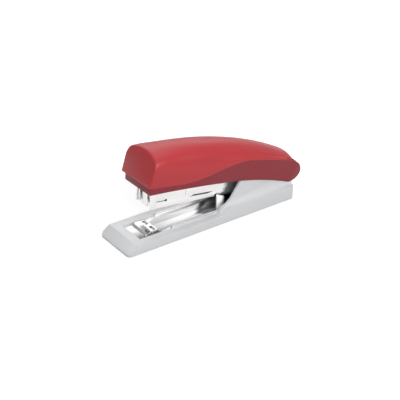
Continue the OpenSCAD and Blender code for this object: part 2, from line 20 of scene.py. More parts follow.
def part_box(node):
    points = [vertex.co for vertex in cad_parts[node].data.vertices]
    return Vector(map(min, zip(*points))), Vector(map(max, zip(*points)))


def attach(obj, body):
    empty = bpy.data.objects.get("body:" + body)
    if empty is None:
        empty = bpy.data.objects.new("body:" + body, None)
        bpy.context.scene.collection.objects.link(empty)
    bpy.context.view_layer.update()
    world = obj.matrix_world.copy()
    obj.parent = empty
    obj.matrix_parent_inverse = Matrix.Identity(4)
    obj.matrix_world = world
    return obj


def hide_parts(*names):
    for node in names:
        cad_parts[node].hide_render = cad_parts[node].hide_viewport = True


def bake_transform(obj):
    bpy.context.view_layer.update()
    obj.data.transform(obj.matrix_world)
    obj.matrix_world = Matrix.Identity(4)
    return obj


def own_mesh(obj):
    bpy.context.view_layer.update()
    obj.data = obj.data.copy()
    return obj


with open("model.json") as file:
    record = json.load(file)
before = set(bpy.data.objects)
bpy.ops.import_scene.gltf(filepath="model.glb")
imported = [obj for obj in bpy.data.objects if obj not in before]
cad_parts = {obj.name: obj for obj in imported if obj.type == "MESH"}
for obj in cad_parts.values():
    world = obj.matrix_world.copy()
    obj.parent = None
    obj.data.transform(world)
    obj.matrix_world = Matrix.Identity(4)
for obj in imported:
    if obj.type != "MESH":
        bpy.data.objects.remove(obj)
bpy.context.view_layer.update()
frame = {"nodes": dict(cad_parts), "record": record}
MM = 0.001
WELD_GAP = 2e-6  # metres, between corners of a CAD mesh that are one corner
LOFT_GAP = 1e-4  # millimetres, the same for a lofted solid
ON_MIDDLE = 1e-6  # millimetres, from the middle to a point that lies on it
FLAT_ANGLE = 0.6  # degrees, between faces of a CAD mesh that are one face
COIL_STEPS = 20  # points in a turn of a coil
WIRE_SIDES = 10
RIVET_SIDES = 24
DOME_RINGS = 12
LOG = logging.getLogger("stapler")

Point2 = tuple[float, float]
Point3 = tuple[float, float, float]


class Body(Enum):
    """The moving bodies of the stapler."""

    BASE = "base"
    MAGAZINE = "magazine"
    PUSHER = "pusher"
    HANDLE = "handle"


class Grain(Enum):
    """The way that the brush marks run on a sheet of steel."""

    ALONG = (0.04, 1.0, 1.0)
    NONE = (1.0, 1.0, 1.0)


class Solid(Enum):
    """What one solid does to another."""

    JOIN = "UNION"
    CUT = "DIFFERENCE"


# ---- Shader expressions ------------------------------------------------------------------


class Expr:
    """A shader socket whose arithmetic adds Math nodes."""

    def __init__(self, shader: "Shader", socket: bpy.types.NodeSocket) -> None:
        """Wraps a socket.

        Args:
            shader: the tree that new nodes go into.
            socket: the output that this expression stands for.
        """
        self.shader, self.socket = shader, socket

    def _math(self, operation: str, first: "Expr | float", second: "Expr | float") -> "Expr":
        """Adds one Math node.

        Args:
            operation: the node's operation.
            first: its first value.
            second: its second value.

        Returns:
            The node's result.
        """
        return self.shader.node("Math", {"operation": operation}, {0: first, 1: second})

    def __add__(self, other: "Expr | float") -> "Expr":
        """Self plus other."""
        return self._math("ADD", self, other)

    def __sub__(self, other: "Expr | float") -> "Expr":
        """Self minus other."""
        return self._math("SUBTRACT", self, other)

    def __mul__(self, other: "Expr | float") -> "Expr":
        """Self times other."""
        return self._math("MULTIPLY", self, other)

    def __rsub__(self, other: float) -> "Expr":
        """A number minus self."""
        return self._math("SUBTRACT", other, self)

    def __pow__(self, other: float) -> "Expr":
        """Self to the power of other."""
        return self._math("POWER", self, other)

    __radd__ = __add__
    __rmul__ = __mul__


class Shader:
    """One material and its node tree."""

    def __init__(self, name: str) -> None:
        """Makes an empty material with a Principled shader.

        Args:
            name: the material's name.
        """
        self.material = bpy.data.materials.new(name)
        self.material.use_nodes = True
        self.tree = self.material.node_tree
        self.tree.nodes.clear()
        out = self.tree.nodes.new("ShaderNodeOutputMaterial")
        self.surface = self.tree.nodes.new("ShaderNodeBsdfPrincipled")
        self.tree.links.new(self.surface.outputs["BSDF"], out.inputs["Surface"])
        self.place = self.node("TexCoord", {}, {}, "Object")

    def node(self, kind: str, settings: dict, values: dict, out: str | int = 0) -> Expr:
        """Adds a node, sets it up and fills its sockets.

        Args:
            kind: the node's type, without the ShaderNode at its front.
            settings: properties, set first; "stops" is a ramp's list of (position, colour).
            values: socket name or number to a value or an expression.
            out: the output that is wanted.

        Returns:
            That output as an expression.
        """
        made = self.tree.nodes.new("ShaderNode" + kind)
        for key, value in settings.items():
            if key != "stops":
                setattr(made, key, value)
                continue
            ramp = made.color_ramp.elements
            while len(ramp) < len(value):
                ramp.new(0.5)
            for stop, (position, colour) in zip(ramp, value):
                stop.position, stop.color = position, colour
        for key, value in values.items():
            self.fill(made.inputs[key], value)
        return Expr(self, made.outputs[out])

    def fill(self, socket: bpy.types.NodeSocket, value: object) -> None:
        """Links an expression to a socket, or sets the socket's own value.

        Args:
            socket: the input.
            value: an Expr, a number, or a colour.
        """
        if isinstance(value, Expr):
            self.tree.links.new(value.socket, socket)
        else:
            socket.default_value = value

    def noise(self, scale: float, stretch: Point3 = (1.0, 1.0, 1.0), detail: float = 3.0) -> Expr:
        """Noise on object coordinates.

        Args:
            scale: waves in a metre.
            stretch: share of the scale along each axis.
            detail: octaves.

        Returns:
            The noise, from 0 to 1.
        """
        vector = self.node("Mapping", {}, {"Vector": self.place, "Scale": stretch})
        return self.node("TexNoise", {}, {"Vector": vector, "Scale": scale, "Detail": detail})

    def blend(self, share: Expr, low: Point3, high: Point3) -> Expr:
        """Mixes two colours.

        Args:
            share: 0 for low, 1 for high.
            low: first colour.
            high: second colour.

        Returns:
            The colour.
        """
        return self.node("Mix", {"data_type": "RGBA"}, {0: share, 6: (*low, 1), 7: (*high, 1)}, 2)

    def bump(self, height: Expr, strength: float, depth: float) -> Expr:
        """Turns a height into a normal.

        Args:
            height: the height, from 0 to 1.
            strength: the bump's strength.
            depth: the height of 1, in metres.

        Returns:
            The normal.
        """
        return self.node("Bump", {}, {"Height": height, "Strength": strength, "Distance": depth})

    def set(self, **values: object) -> None:
        """Fills sockets of the Principled shader, with _ for a space in a name."""
        for key, value in values.items():
            self.fill(self.surface.inputs[key.replace("_", " ")], value)


# ---- Finishes ----------------------------------------------------------------------------


# Scales are waves in a metre, and depths are metres.


@dataclass(frozen=True)
class Plastic:
    """Moulded plastic with a fine spark-eroded grain."""

    name: str
    colour: Point3
    deep: Point3
    rough: float
    coat: float = 0.0
    grain: float = 0.05
    grain_scale: float = 5200.0
    grain_depth: float = 0.00005
    cloud_scale: float = 60.0
    scuff_scale: float = 420.0
    scuff_stretch: Point3 = (1.0, 0.25, 1.0)

    def material(self) -> bpy.types.Material:
        """Builds the finish.

        Returns:
            The material.
        """
        s = Shader(self.name)
        cloud = s.noise(self.cloud_scale)
        fine = s.noise(self.grain_scale, detail=2.0)
        scuff = s.noise(self.scuff_scale, self.scuff_stretch, 6.0) ** 3.0
        s.set(
            Base_Color=s.blend(cloud, self.deep, self.colour),
            Roughness=self.rough + (cloud - 0.5) * 0.08 + scuff * 0.12,
            Normal=s.bump(fine, self.grain, self.grain_depth),
            Coat_Weight=self.coat,
            Coat_Roughness=0.18,
            IOR=1.48,
        )
        return s.material


@dataclass(frozen=True)
class Steel:
    """Sheet steel, brushed, rolled or polished."""

    name: str
    colour: Point3
    dark: Point3
    rough: float
    grain: Grain = Grain.NONE
    marks: float = 0.2
    depth: float = 0.00002
    brush_scale: float = 9000.0
    cloud_scale: float = 70.0
    stain_scale: float = 500.0

    def material(self) -> bpy.types.Material:
        """Builds the finish.

        Returns:
            The material.
        """
        s = Shader(self.name)
        brush = s.noise(self.brush_scale, self.grain.value, 3.0)
        cloud = s.noise(self.cloud_scale)
        stain = s.noise(self.stain_scale, detail=5.0) ** 4.0
        tone = brush * 0.5 + cloud * 0.5
        s.set(
            Base_Color=s.blend(tone, self.dark, self.colour),
            Metallic=1.0,
            Roughness=self.rough + (brush - 0.5) * self.marks * 0.5 + stain * self.marks,
            Normal=s.bump(brush, self.marks, self.depth),
        )
        return s.material


@dataclass(frozen=True)
class Rubber:
    """Matt rubber with a pebbled skin."""

    name: str
    colour: Point3
    pebble_scale: float = 1400.0
    pebble_depth: float = 0.0001
    dust_scale: float = 240.0

    def material(self) -> bpy.types.Material:
        """Builds the finish.

        Returns:
            The material.
        """
        s = Shader(self.name)
        pebble = s.node(
            "TexVoronoi",
            {"feature": "SMOOTH_F1"},
            {"Vector": s.place, "Scale": self.pebble_scale},
        )
        dust = s.noise(self.dust_scale, detail=6.0)
        pale = tuple(c * 1.9 + 0.01 for c in self.colour)
        s.set(
            Base_Color=s.blend(dust, self.colour, pale),
            Roughness=0.72 + dust * 0.2,
            Normal=s.bump(pebble, 0.5, self.pebble_depth),
        )
        return s.material


# The skirt's red is the cap's red painted darker: painted shade for the band under the crease,
# which leans down away from the light.
CAP_SKIRT_PAINTED_SHADE = Plastic("red_plastic_painted_shade", (0.25, 0.009, 0.018), (0.22, 0.007, 0.015), 0.46)
FINISHES = {
    "cap_plastic": Plastic("red_plastic", (0.46, 0.026, 0.033), (0.41, 0.022, 0.029), 0.4, 0.06),
    "base_plastic": Plastic("grey_plastic", (0.66, 0.67, 0.68), (0.62, 0.63, 0.64), 0.34, 0.15),
    "follower_plastic": Plastic("dark_plastic", (0.09, 0.09, 0.095), (0.06, 0.06, 0.065), 0.45),
    "pad_rubber": Rubber("pad_rubber", (0.022, 0.022, 0.024)),
    "plate_steel": Steel(
        "brushed_steel", (0.84, 0.84, 0.845), (0.72, 0.72, 0.725), 0.3, Grain.ALONG, 0.12, 0.000008
    ),
    "frame_steel": Steel(
        "rolled_steel", (0.62, 0.63, 0.64), (0.5, 0.51, 0.52), 0.34, Grain.ALONG, 0.2
    ),
    "nickel": Steel(
        "polished_nickel", (0.72, 0.72, 0.715), (0.6, 0.6, 0.595), 0.16, Grain.ALONG, 0.05, 0.000005
    ),
    "fastener_steel": Steel("turned_steel", (0.7, 0.7, 0.71), (0.58, 0.58, 0.59), 0.26),
    "spring_steel": Steel("blued_steel", (0.07, 0.075, 0.09), (0.03, 0.033, 0.045), 0.3),
}
MATERIALS = {slot: finish.material() for slot, finish in FINISHES.items()}


# ---- Mesh helpers ------------------------------------------------------------------------


def dress(
    piece: bpy.types.Object, slot: str, body: Body | None, nodes: Sequence[str] = ()
) -> None:
    """Gives a finished piece its material and body, and hides the CAD nodes it stands for.

    Args:
        piece: the mesh object, in place.
        slot: the record's material slot.
        body: what the piece moves with, or None if it bends between two.
        nodes: the CAD nodes that it replaces.
    """
    if not piece.data.materials:
        piece.data.materials.append(MATERIALS[slot])
    if body:
        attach(piece, body.value)
    if nodes:
        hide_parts(*nodes)
    LOG.info("%s: %d faces, %s", piece.name, len(piece.data.polygons), slot)


def make_object(name: str, mesh: bpy.types.Mesh) -> bpy.types.Object:
    """Puts a mesh into the scene.

    Args:
        name: the piece's name.
        mesh: its mesh.

    Returns:
        The object, at the origin.
    """
    made = bpy.data.objects.new(name, mesh)
    bpy.context.scene.collection.objects.link(made)
    return made


def shade(mesh: bpy.types.Mesh, angle: float) -> None:
    """Makes faces smooth, and edges sharp where they turn more than an angle in degrees."""
    mesh.shade_smooth()
    mesh.set_sharp_from_angle(angle=math.radians(angle))


def from_bmesh(name: str, bm: bmesh.types.BMesh, angle: float = 32.0) -> bpy.types.Object:
    """Turns a bmesh into an object with smooth faces and sharp edges.

    Args:
        name: the piece's name.
        bm: the mesh, freed here.
        angle: edges sharper than this, in degrees, stay sharp.

    Returns:
        The object.
    """
    mesh = bpy.data.meshes.new(name)
    bm.to_mesh(mesh)
    bm.free()
    shade(mesh, angle)
    return make_object(name, mesh)


def loft(rings: Sequence[Sequence[Point3]]) -> bmesh.types.BMesh:
    """Joins closed rings of points into a solid with flat ends.

    Args:
        rings: the rings, each with the same number of points.

    Returns:
        The solid, with its faces outwards.
    """
    bm = bmesh.new()
    rows = [[bm.verts.new(p) for p in ring] for ring in rings]
    for near, far in zip(rows, rows[1:]):
        for i in range(len(near)):
            j = (i + 1) % len(near)
            bm.faces.new((near[i], near[j], far[j], far[i]))
    bm.faces.new(rows[0])
    bm.faces.new(rows[-1])
    bmesh.ops.remove_doubles(bm, verts=bm.verts, dist=LOFT_GAP)
    bmesh.ops.recalc_face_normals(bm, faces=bm.faces)
    return bm


def combine(
    first: bpy.types.Object, second: bpy.types.Object, operation: Solid
) -> bpy.types.Object:
    """Joins or cuts the first solid with the second, which is used up.

    Args:
        first: the solid that changes.
        second: the other solid.
        operation: what the second solid does to the first.

    Returns:
        The first solid.
    """
    step = first.modifiers.new("combine", "BOOLEAN")
    step.object = second
    step.operation = operation.value
    step.solver = "MANIFOLD"
    step.material_mode = "TRANSFER"  # each keeps its own finish
    settle(first)
    bpy.data.objects.remove(second)
    return first


def settle(piece: bpy.types.Object) -> None:
    """Turns an object's modifiers into its plain mesh.

    Args:
        piece: the object.
    """
    bpy.context.view_layer.update()
    graph = bpy.context.evaluated_depsgraph_get()
    mesh = bpy.data.meshes.new_from_object(piece.evaluated_get(graph))
    piece.modifiers.clear()
    piece.data = mesh


def softened(
    node: str,
    radius: float,
    sharp: float = 28.0,
    segments: int = 2,
    keep: Callable[[Vector], bool] | None = None,
) -> bpy.types.Object:
    """A copy of a CAD node with its hard edges rounded.

    Args:
        node: the CAD node.
        radius: the rounding, in millimetres.
        sharp: edges that turn more than this, in degrees, are rounded.
        segments: faces across a rounded edge.
        keep: says from an edge's middle, in millimetres, if it is rounded.

    Returns:
        The copy.
    """
    bm = bmesh.new()
    bm.from_mesh(frame["nodes"][node].data)
    bmesh.ops.remove_doubles(bm, verts=bm.verts, dist=WELD_GAP)
    bmesh.ops.dissolve_limit(
        bm, angle_limit=math.radians(FLAT_ANGLE), verts=bm.verts, edges=bm.edges, delimit=set()
    )
    chosen = [
        e
        for e in bm.edges
        if len(e.link_faces) == 2
        and e.calc_face_angle(0.0) > math.radians(sharp)
        and (keep is None or keep((e.verts[0].co + e.verts[1].co) / (2 * MM)))
    ]
    bmesh.ops.bevel(
        bm,
        geom=chosen,
        offset=radius * MM,
        segments=segments,
        profile=0.5,
        affect="EDGES",
        clamp_overlap=True,
    )
    made = from_bmesh(node + "_soft", bm)
    made.data.materials.clear()
    return made


def smooth(t: float) -> float:
    """Rises from 0 to 1 as t does, with level ends."""
    t = min(max(t, 0.0), 1.0)
    return t * t * (3 - 2 * t)


def between(a: Point2, b: Point2, share: float) -> Point2:
    """The point that lies a share of the way from a to b."""
    return (a[0] + (b[0] - a[0]) * share, a[1] + (b[1] - a[1]) * share)


def bezier(p: Sequence[Point2], count: int) -> list[Point2]:
    """Points of a cubic Bezier curve, without its first.

    Args:
        p: its four control points.
        count: how many points.

    Returns:
        The points.
    """
    made = []
    for i in range(1, count + 1):
        t = i / count
        w = ((1 - t) ** 3, 3 * t * (1 - t) ** 2, 3 * t * t * (1 - t), t**3)
        made.append(tuple(sum(a * q[k] for a, q in zip(w, p)) for k in (0, 1)))
    return made


def helix(start: float, end: float, turns: int, extra: float = 0.0) -> list[Point2]:
    """Places along a coil and the angle at each.

    Args:
        start: where the coil starts on its axis.
        end: where it ends.
        turns: whole turns.
        extra: more angle at its end, in radians.

    Returns:
        Pairs of (place on the axis, angle).
    """
    steps = COIL_STEPS * turns
    return [
        (start + (end - start) * i / steps, (math.tau * turns + extra) * i / steps)
        for i in range(steps + 1)
    ]


# ---- Geometry Nodes ----------------------------------------------------------------------


class Recipe:
    """A Geometry Nodes tree that is built in code and run on one object."""

    SHARP = 40.0

    def __init__(self, name: str, inputs: Sequence[str]) -> None:
        """Makes a tree with a geometry input, number inputs and a material input.

        Args:
            name: the tree's name.
            inputs: names of its number inputs.
        """
        self.tree = bpy.data.node_groups.new(name, "GeometryNodeTree")
        face = self.tree.interface
        face.new_socket("Geometry", in_out="OUTPUT", socket_type="NodeSocketGeometry")
        face.new_socket("Geometry", in_out="INPUT", socket_type="NodeSocketGeometry")
        self.sockets = {
            key: face.new_socket(key, in_out="INPUT", socket_type="NodeSocketFloat")
            for key in inputs
        }
        self.sockets["Material"] = face.new_socket(
            "Material", in_out="INPUT", socket_type="NodeSocketMaterial"
        )
        self.given = self.tree.nodes.new("NodeGroupInput").outputs
        self.result = self.tree.nodes.new("NodeGroupOutput").inputs[0]

    def add(
        self, kind: str, values: dict, settings: dict | None = None, out: str | int = 0
    ) -> bpy.types.NodeSocket:
        """Adds a node.

        Args:
            kind: the node's type.
            values: socket name or number to a value, a socket or a list of sockets.
            settings: the node's properties.
            out: the output that is wanted.

        Returns:
            That output.
        """
        made = self.tree.nodes.new(kind)
        for key, value in (settings or {}).items():
            setattr(made, key, value)
        for key, value in values.items():
            for one in value if isinstance(value, list) else [value]:
                if isinstance(one, bpy.types.NodeSocket):
                    self.tree.links.new(one, made.inputs[key])
                else:
                    made.inputs[key].default_value = one
        return made.outputs[out]

    def close(self, geometry: bpy.types.NodeSocket) -> None:
        """Ends the tree in Realize Instances and Set Material.

        Args:
            geometry: what the tree has made.
        """
        real = self.add("GeometryNodeRealizeInstances", {"Geometry": geometry})
        done = self.add(
            "GeometryNodeSetMaterial", {"Geometry": real, "Material": self.given["Material"]}
        )
        self.tree.links.new(done, self.result)

    def run(
        self, piece: bpy.types.Object, material: bpy.types.Material, **values: float
    ) -> bpy.types.Object:
        """Runs the tree on an object and keeps the plain mesh.

        Args:
            piece: the object that holds the input.
            material: what the result is made of.
            values: the tree's number inputs, with _ for a space in a name.

        Returns:
            The object.
        """
        step = piece.modifiers.new("recipe", "NODES")
        step.node_group = self.tree
        step[self.sockets["Material"].identifier] = material
        for key, value in values.items():
            step[self.sockets[key.replace("_", " ")].identifier] = value
        settle(piece)
        shade(piece.data, self.SHARP)
        return piece


def wire_recipe() -> Recipe:
    """A round wire that follows the edges of the input, with its ends closed.

    Returns:
        The tree.
    """
    recipe = Recipe("wire_on_path", ["Wire Radius"])
    path = recipe.add("GeometryNodeMeshToCurve", {"Mesh": recipe.given["Geometry"]})
    circle = recipe.add(
        "GeometryNodeCurvePrimitiveCircle",
        {"Resolution": WIRE_SIDES, "Radius": recipe.given["Wire Radius"]},
    )
    tube = recipe.add(
        "GeometryNodeCurveToMesh", {"Curve": path, "Profile Curve": circle, "Fill Caps": True}
    )
    recipe.close(tube)
    return recipe


def rivet_recipe() -> Recipe:
    """A shank with a low dome on each point, turned to the point's axis.

    Returns:
        The tree.
    """
    recipe = Recipe("rivet_on_point", ["Shank Radius", "Head Radius", "Dome", "Length"])
    given = recipe.given
    half = recipe.add("ShaderNodeMath", {0: given["Length"], 1: 0.5}, {"operation": "MULTIPLY"})
    middle = recipe.add("ShaderNodeCombineXYZ", {"Z": half})
    rod = recipe.add(
        "GeometryNodeMeshCylinder",
        {"Vertices": RIVET_SIDES, "Radius": given["Shank Radius"], "Depth": given["Length"]},
    )
    rod = recipe.add("GeometryNodeTransform", {"Geometry": rod, "Translation": middle})
    ball = recipe.add(
        "GeometryNodeMeshUVSphere", {"Segments": RIVET_SIDES, "Rings": DOME_RINGS, "Radius": 1.0}
    )
    shape = recipe.add(
        "ShaderNodeCombineXYZ",
        {"X": given["Head Radius"], "Y": given["Head Radius"], "Z": given["Dome"]},
    )
    end = recipe.add("ShaderNodeCombineXYZ", {"Z": given["Length"]})
    dome = recipe.add(
        "GeometryNodeTransform", {"Geometry": ball, "Translation": end, "Scale": shape}
    )
    whole = recipe.add("GeometryNodeJoinGeometry", {"Geometry": [rod, dome]})
    axis = recipe.add(
        "GeometryNodeInputNamedAttribute", {"Name": "axis"}, {"data_type": "FLOAT_VECTOR"}
    )
    turn = recipe.add("FunctionNodeAlignRotationToVector", {"Vector": axis}, {"axis": "Z"})
    points = recipe.add("GeometryNodeMeshToPoints", {"Mesh": given["Geometry"]})
    rivets = recipe.add(
        "GeometryNodeInstanceOnPoints", {"Points": points, "Instance": whole, "Rotation": turn}
    )
    recipe.close(rivets)
    return recipe


WIRE = wire_recipe()
RIVET = rivet_recipe()


def wire(
    name: str, path: Sequence[Point3], radius: float, place: Matrix
) -> bpy.types.Object:
    """Bends a wire along a path.

    Args:
        name: the piece's name.
        path: its points, in millimetres, in the frame of place.
        radius: half the wire's thickness, in millimetres.
        place: from that frame to the stapler's frame in metres.

    Returns:
        The wire.
    """
    mesh = bpy.data.meshes.new(name)
    links = [(i, i + 1) for i in range(len(path) - 1)]
    mesh.from_pydata([place @ Vector(p) for p in path], links, [])
    return WIRE.run(make_object(name, mesh), MATERIALS["spring_steel"], Wire_Radius=radius * MM)


@dataclass(frozen=True)
class Rivets:
    """Identical rivets of one CAD node.

    The axis is in the frame of what they hold, which is tilted by so many degrees at rest. The
    head's radius and the dome's height are in millimetres.
    """

    node: str
    body: Body
    axis: Point3
    tilt: float
    head: float
    dome: float

    def islands(self) -> list[list[Vector]]:
        """Finds the loose solids of the node.

        Returns:
            The corners of each.
        """
        bm = bmesh.new()
        bm.from_mesh(frame["nodes"][self.node].data)
        bmesh.ops.remove_doubles(bm, verts=bm.verts, dist=WELD_GAP)
        # A dict and not a set, because its order is the same each run.
        left, found = dict.fromkeys(bm.verts), []
        while left:
            stack = [left.popitem()[0]]
            island = list(stack)
            while stack:
                for edge in stack.pop().link_edges:
                    for vert in edge.verts:
                        if vert in left:
                            del left[vert]
                            stack.append(vert)
                            island.append(vert)
            found.append([v.co.copy() for v in island])
        bm.free()
        return found

    def build(self) -> None:
        """Makes the fasteners where the CAD has them, domed at the outer end."""
        turn = Matrix.Rotation(math.radians(self.tilt), 3, "Y")
        axis = turn @ Vector(self.axis)
        places, axes, length, shank = [], [], 0.0, 1.0
        for points in self.islands():
            middle = sum(points, Vector()) / len(points)
            # A rivet that lies across the stapler faces out on its own side.
            out = axis if middle.dot(axis) >= 0 or self.axis[1] == 0 else -axis
            spans = [p.dot(out) for p in points]
            foot = middle + out * (min(spans) - middle.dot(out))
            radii = [((p - middle) - out * (p - middle).dot(out)).length for p in points]
            length, shank = max(spans) - min(spans), min(radii)
            places.append(foot)
            axes.append(out)
        mesh = bpy.data.meshes.new(self.node + "_domed")
        mesh.from_pydata(places, [], [])
        mesh.attributes.new("axis", "FLOAT_VECTOR", "POINT").data.foreach_set(
            "vector", [c for v in axes for c in v]
        )
        piece = RIVET.run(
            make_object(self.node + "_domed", mesh),
            MATERIALS["fastener_steel"],
            Shank_Radius=shank,
            Head_Radius=self.head * MM,
            Dome=self.dome * MM,
            Length=length - self.dome * MM,
        )
        dress(piece, "fastener_steel", self.body, [self.node])


# ---- Frames of the moving parts ----------------------------------------------------------


@dataclass(frozen=True)
class Pivot:
    """The pivot pin, and the angles of what turns on it at rest."""

    magazine_tilt: float = 6.5
    handle_tilt: float = 12.0

    @property
    def centre(self) -> Vector:
        """The pin's centre, in metres."""
        low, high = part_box("pivot_pin")
        return (low + high) / 2

    def matrix(self, tilt: float) -> Matrix:
        """From a part's own millimetres to the stapler's frame in metres.

        Args:
            tilt: the part's angle at rest.

        Returns:
            The matrix.
        """
        turn = Matrix.Rotation(math.radians(tilt), 4, "Y")
        return Matrix.Translation(self.centre) @ turn @ Matrix.Scale(MM, 4)


PIVOT = Pivot()


# ---- Cap ---------------------------------------------------------------------------------


@dataclass
class Cap:
    """The plastic cap, in the handle's frame: an arched upper shell over a set-back skirt.

    A span is where a change starts along the cap and the length that it takes.
    """

    # The upper shell's crown, soft ridge and side.
    front: float = -104.6
    rear: float = 2.6
    crest: float = -62.5
    crest_height: float = 19.6
    crown_radius: float = 225.0
    crown_power: float = 2.3
    ridge_half: float = 12.5
    ridge_drop: float = 4.6
    ridge_rise: float = 1.6
    ridge_span: Point2 = (-50.0, 45.0)
    shoulder_bulge: Point2 = (0.16, 0.32)
    side_bulge: Point2 = (0.05, 0.5)
    side_half: float = 15.35
    side_draft: float = 0.55
    draft_top: float = 6.0
    draft_height: float = 9.0
    rear_rim: float = 0.3
    # The crease, and the rounded lip above it.
    crease_foot: float = -2.9
    crease_slope: float = 0.05
    crease_rise: float = 9.6
    crease_rise_span: Point2 = (-82.0, 48.0)
    crease_fall: float = 4.2
    crease_fall_span: Point2 = (-42.0, 40.0)
    lip: float = 0.5
    lip_round: Sequence[Point2] = ((0.08, 0.2), (0.3, 0.03), (0.55, 0.0))
    # The squarer front, which leans back.
    front_flat: float = 10.4
    front_flat_drop: float = 1.7
    front_corner: Point2 = (15.3, 7.8)
    front_corner_bend: Sequence[Point2] = ((2.8, 0.9), (0.7, 0.5))
    front_rake: Point2 = (0.15, 24.0)
    front_blend: Point2 = (-76.0, 26.0)
    front_rim: float = 1.1
    front_rim_round: Sequence[Point2] = ((0.0, 0.95), (0.08, 0.6), (0.28, 0.3), (0.6, 0.08))
    # The skirt under the crease, and the round tail.
    skirt_setback: float = 2.4
    skirt_overlap: float = 1.0
    skirt_lean: float = 0.13
    skirt_rounds: Point2 = (0.8, 0.6)
    skirt_round_share: float = 0.3
    skirt_rim: float = 0.5
    skirt_rim_round: Sequence[Point2] = ((0.0, 0.6), (0.18, 0.18))
    seam_step: Point2 = (0.3, 0.6)
    seam_step_span: Point2 = (-62.0, 40.0)
    edge_crest: Point2 = (-40.0, -3.6)
    edge_radii: Point2 = (490.0, 230.0)
    tail: Point2 = (2.3, -0.4)
    tail_radius: float = 7.0
    tail_lead: float = 1.2
    tail_gap: float = 0.05
    tail_stop: float = 0.01
    # The inside.
    wall: float = 1.6
    hollow_half: float = 12.85
    hollow_foot: float = -20.0
    tail_room: float = 1.6
    boss_xs: Sequence[float] = (-85.35, -61.85)
    boss_radius: float = 2.8
    boss_foot: float = 9.0
    # Faces across each stretch.
    top_steps: int = 14
    shoulder_steps: int = 12
    corner_steps: int = 8
    length_steps: int = 72
    skirt_steps: int = 60
    tail_steps: int = 16
    arch_steps: int = 40
    hollow_steps: int = 12
    boss_sides: int = 32
    sharp: float = 34.0

    def crown(self, x: float) -> float:
        """Height of the crown along the cap."""
        return self.crest_height - (x - self.crest) ** 2 / (2 * self.crown_radius)

    def ridge(self, x: float) -> float:
        """Height of the soft ridge where the top turns into the side."""
        start, length = self.ridge_span
        return self.crown(x) - (self.ridge_drop - self.ridge_rise * smooth((x - start) / length))

    def fall(self, x: float, y: float) -> float:
        """How far the top is below the crown at a place across the cap."""
        return (self.crown(x) - self.ridge(x)) * (y / self.ridge_half) ** self.crown_power

    def crease(self, x: float) -> float:
        """Height of the S-shaped crease between the upper shell and the skirt.

        Args:
            x: a place along the cap.

        Returns:
            The height.
        """
        rise_start, rise_length = self.crease_rise_span
        fall_start, fall_length = self.crease_fall_span
        lift = self.crease_rise * smooth((x - rise_start) / rise_length)
        lift -= self.crease_fall * (max(0.0, x - fall_start) / fall_length) ** 1.5
        return self.crease_foot + self.crease_slope * (x - self.front) + lift

    def edge(self, x: float) -> float:
        """Height of the skirt's lower edge.

        Args:
            x: a place along the cap.

        Returns:
            The height.
        """
        away = x - self.edge_crest[0]
        radius = self.edge_radii[0] if away < 0 else self.edge_radii[1]
        return self.edge_crest[1] - away**2 / (2 * radius)

    def side(self, z: float) -> float:
        """Half width of the upper shell at a height."""
        share = min(max((self.draft_top - z) / self.draft_height, 0.0), 1.0)
        return self.side_half - self.side_draft * share

    def upper_half(self, x: float) -> list[Point2]:
        """Right half of the upper shell's section, from crown to crease.

        Args:
            x: where the section stands.

        Returns:
            Points of (y, z).
        """
        top, ridge, low = self.crown(x), self.ridge(x), self.crease(x)
        rim = self.side(low)
        across = [self.ridge_half * i / self.top_steps for i in range(self.top_steps + 1)]
        points = [(y, top - self.fall(x, y)) for y in across]
        tall = ridge - low - self.lip
        last = (rim, low + self.lip)
        shoulder_y, shoulder_z = self.shoulder_bulge
        side_y, side_z = self.side_bulge
        points += bezier(
            [
                points[-1],
                (self.ridge_half + shoulder_y * tall, ridge - shoulder_z * tall),
                (rim + side_y, last[1] + side_z * tall),
                last,
            ],
            self.shoulder_steps,
        )
        start, length = self.front_blend
        share = smooth((start - x) / length)
        if share > 0:
            points = [between(a, b, share) for a, b in zip(points, self.boxy_half(top, last))]
        return points + [(rim - y, low + z) for y, z in self.lip_round]

    def boxy_half(self, top: float, last: Point2) -> list[Point2]:
        """The squarer section at the cap's front, with as many points as the other.

        Args:
            top: height of the crown.
            last: the section's last point above the lip, (y, z).

        Returns:
            Points of (y, z).
        """
        steps = self.top_steps
        flat, (corner_y, corner_drop) = self.front_flat, self.front_corner
        (bend_y, bend_z), (pull_y, pull_share) = self.front_corner_bend
        points = [
            (flat * i / steps, top - self.front_flat_drop * (i / steps) ** 2)
            for i in range(steps + 1)
        ]
        foot = (corner_y, top - corner_drop)
        points += bezier(
            [
                points[-1],
                (flat + bend_y, top - self.front_flat_drop - bend_z),
                (corner_y - pull_y, top - pull_share * corner_drop),
                foot,
            ],
            self.corner_steps,
        )
        straight = self.shoulder_steps - self.corner_steps
        return points + [between(foot, last, i / straight) for i in range(1, straight + 1)]

    @staticmethod
    def mirrored(x: float, half: Sequence[Point2]) -> list[Point3]:
        """A closed ring from its right half.

        Args:
            x: where the ring stands.
            half: points of (y, z), the first and last on or near the middle.

        Returns:
            The ring.
        """
        right = [(x, y, z) for y, z in half]
        return right + [(x, -y, z) for y, z in reversed(half) if y > ON_MIDDLE]

    @staticmethod
    def shrunk(ring: Sequence[Point3], x: float, inset: float) -> list[Point3]:
        """A ring drawn in towards its middle, for a rounded rim.

        Args:
            ring: the ring.
            x: where the new one stands.
            inset: how far it is drawn in.

        Returns:
            The new ring.
        """
        z0 = (max(p[2] for p in ring) + min(p[2] for p in ring)) / 2
        made = []
        for _, y, z in ring:
            share = 1 - inset / math.hypot(y, z - z0)
            made.append((x, y * share, z0 + (z - z0) * share))
        return made

    def raked(self, ring: Sequence[Point3]) -> list[Point3]:
        """A ring leant back, more so the nearer it is to the front.

        Args:
            ring: the ring.

        Returns:
            The new ring.
        """
        slope, length = self.front_rake
        foot = self.crease(self.front)
        made = []
        for x, y, z in ring:
            fade = 1 - smooth((x - self.front) / length)
            made.append((x + slope * fade * max(0.0, z - foot), y, z))
        return made

